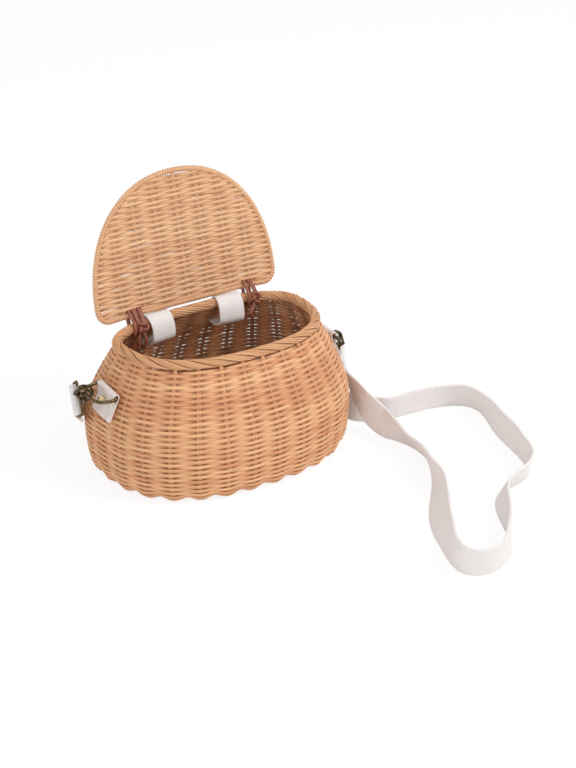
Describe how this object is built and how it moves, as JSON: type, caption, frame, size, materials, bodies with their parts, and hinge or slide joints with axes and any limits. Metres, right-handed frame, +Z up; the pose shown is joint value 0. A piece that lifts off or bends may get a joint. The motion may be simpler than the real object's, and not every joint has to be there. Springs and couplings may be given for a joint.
{
  "type": "rattan crossbody bag",
  "caption": "Creel-shaped woven rattan handbag with a tied-on lid, webbing loops over the back rim and a flat webbing shoulder strap clipped to side rings.",
  "frame": {"origin": "on the floor under the middle of the basket's base", "axes": "+Z up, +X towards the right-hand clasp seen from the front, +Y to the back where the lid is tied on"},
  "size_m": [0.3425, 0.3886, 0.223],
  "materials": {
    "rattan": "woven split rattan, satin, honey tan",
    "cane": "round cane rod, satin",
    "lace": "waxed reddish brown lace",
    "webbing": "matt woven webbing, off-white",
    "leather": "smooth off-white leather",
    "brass": "polished pale brass",
    "antique_brass": "dark antique brass"
  },
  "bodies": {
    "bag": {"basket_base": "rattan", "basket_wall": "rattan", "rim_border": "rattan", "rear_loop_left": "webbing", "rear_loop_right": "webbing", "hinge_tie_left": "lace", "hinge_tie_right": "lace", "leather_tab_left": "leather", "ball_stud_left": "brass", "stud_washer_left": "brass", "swivel_eye_left": "antique_brass", "strap_end_left": "webbing", "leather_tab_right": "leather", "ball_stud_right": "brass", "stud_washer_right": "brass", "swivel_eye_right": "antique_brass", "strap_end_right": "webbing", "shoulder_strap": "webbing"},
    "lid": {"lid_frame": "cane", "lid_weave": "rattan", "lid_rib_1": "rattan", "lid_rib_2": "rattan", "lid_rib_3": "rattan", "lid_rib_4": "rattan", "lid_rib_5": "rattan", "lid_rib_6": "rattan", "lid_rib_7": "rattan"},
    "ring_left": {"d_ring_left": "antique_brass"},
    "hook_left": {"hook_body_left": "antique_brass", "gate_pin_left": "antique_brass"},
    "gate_left": {"hook_gate_left": "antique_brass"},
    "ring_right": {"d_ring_right": "antique_brass"},
    "hook_right": {"hook_body_right": "antique_brass", "gate_pin_right": "antique_brass"},
    "gate_right": {"hook_gate_right": "antique_brass"}
  },
  "joints": [
    {"name": "lid_hinge", "type": "hinge", "parent": "bag", "child": "lid", "pos_m": [0, 0.037, 0.1168], "axis": [1, 0, 0], "range_deg": [0, 102.6]},
    {"name": "ring_left_swing", "type": "hinge", "parent": "bag", "child": "ring_left", "pos_m": [-0.1022, -0.00878, 0.08161], "axis": [-0.0326, -0.9962, -0.0808], "range_deg": [-1, 0]},
    {"name": "ring_right_swing", "type": "hinge", "parent": "bag", "child": "ring_right", "pos_m": [0.1022, -0.00878, 0.08161], "axis": [-0.0326, 0.9962, 0.0808], "range_deg": [-2, 0]},
    {"name": "hook_left_swivel", "type": "hinge", "parent": "bag", "child": "hook_left", "pos_m": [-0.11692, 0.00048, 0.08127], "axis": [-0.1528, 0.6944, -0.7032], "range_deg": [-15, 10]},
    {"name": "hook_right_swivel", "type": "hinge", "parent": "bag", "child": "hook_right", "pos_m": [0.11497, -0.0074, 0.06972], "axis": [0.2591, -0.0499, -0.9646], "range_deg": [-15, 8]},
    {"name": "gate_left_pivot", "type": "hinge", "parent": "hook_left", "child": "gate_left", "pos_m": [-0.115, 0.00421, 0.07317], "axis": [0.6818, 0.5891, 0.4337], "range_deg": [-20, 0], "stiffness_Nm_per_rad": 0.002, "springref_deg": 11.46},
    {"name": "gate_right_pivot", "type": "hinge", "parent": "hook_right", "child": "gate_right", "pos_m": [0.11279, -0.00784, 0.06086], "axis": [-0.005, -0.9987, 0.0504], "range_deg": [-20, 0], "stiffness_Nm_per_rad": 0.002, "springref_deg": 11.46}
  ]
}
